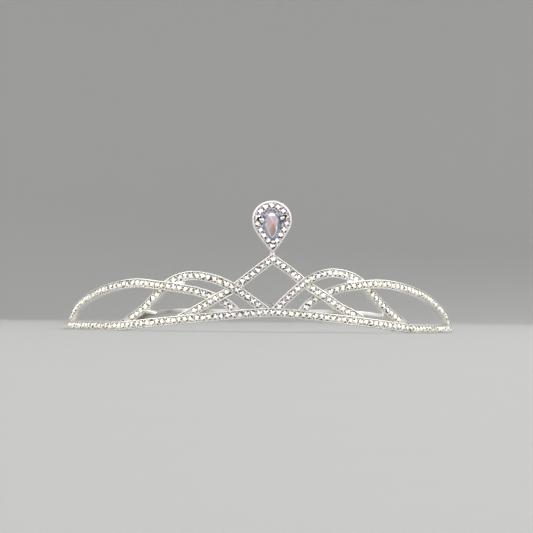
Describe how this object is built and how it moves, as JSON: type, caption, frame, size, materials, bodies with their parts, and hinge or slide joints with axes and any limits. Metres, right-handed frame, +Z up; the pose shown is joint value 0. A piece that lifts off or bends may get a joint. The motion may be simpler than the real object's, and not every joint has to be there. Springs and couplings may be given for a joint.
{
  "type": "tiara",
  "caption": "Curved tiara whose stone-set ribbons interlace and rise to a central peak, with a large pear-cut stone in a halo on a short post.",
  "frame": {"origin": "middle of the bounding box's underside, on the floor that the tiara rests on", "axes": "+Z up, the stone-set front faces -Y, +X to the right of someone who looks at the front"},
  "size_m": [0.1492, 0.1162, 0.0455],
  "materials": {
    "metal": "bright silver-coloured plating",
    "pear_crystal": "polished cut crystal",
    "crystal": "polished cut crystal"
  },
  "bodies": {
    "root": {"frame": "metal", "pear_stone": "pear_crystal", "halo_stones": "crystal", "rail_stones": "crystal", "peak_stones": "crystal", "arch_stones": "crystal", "wing_stones": "crystal"}
  },
  "joints": []
}
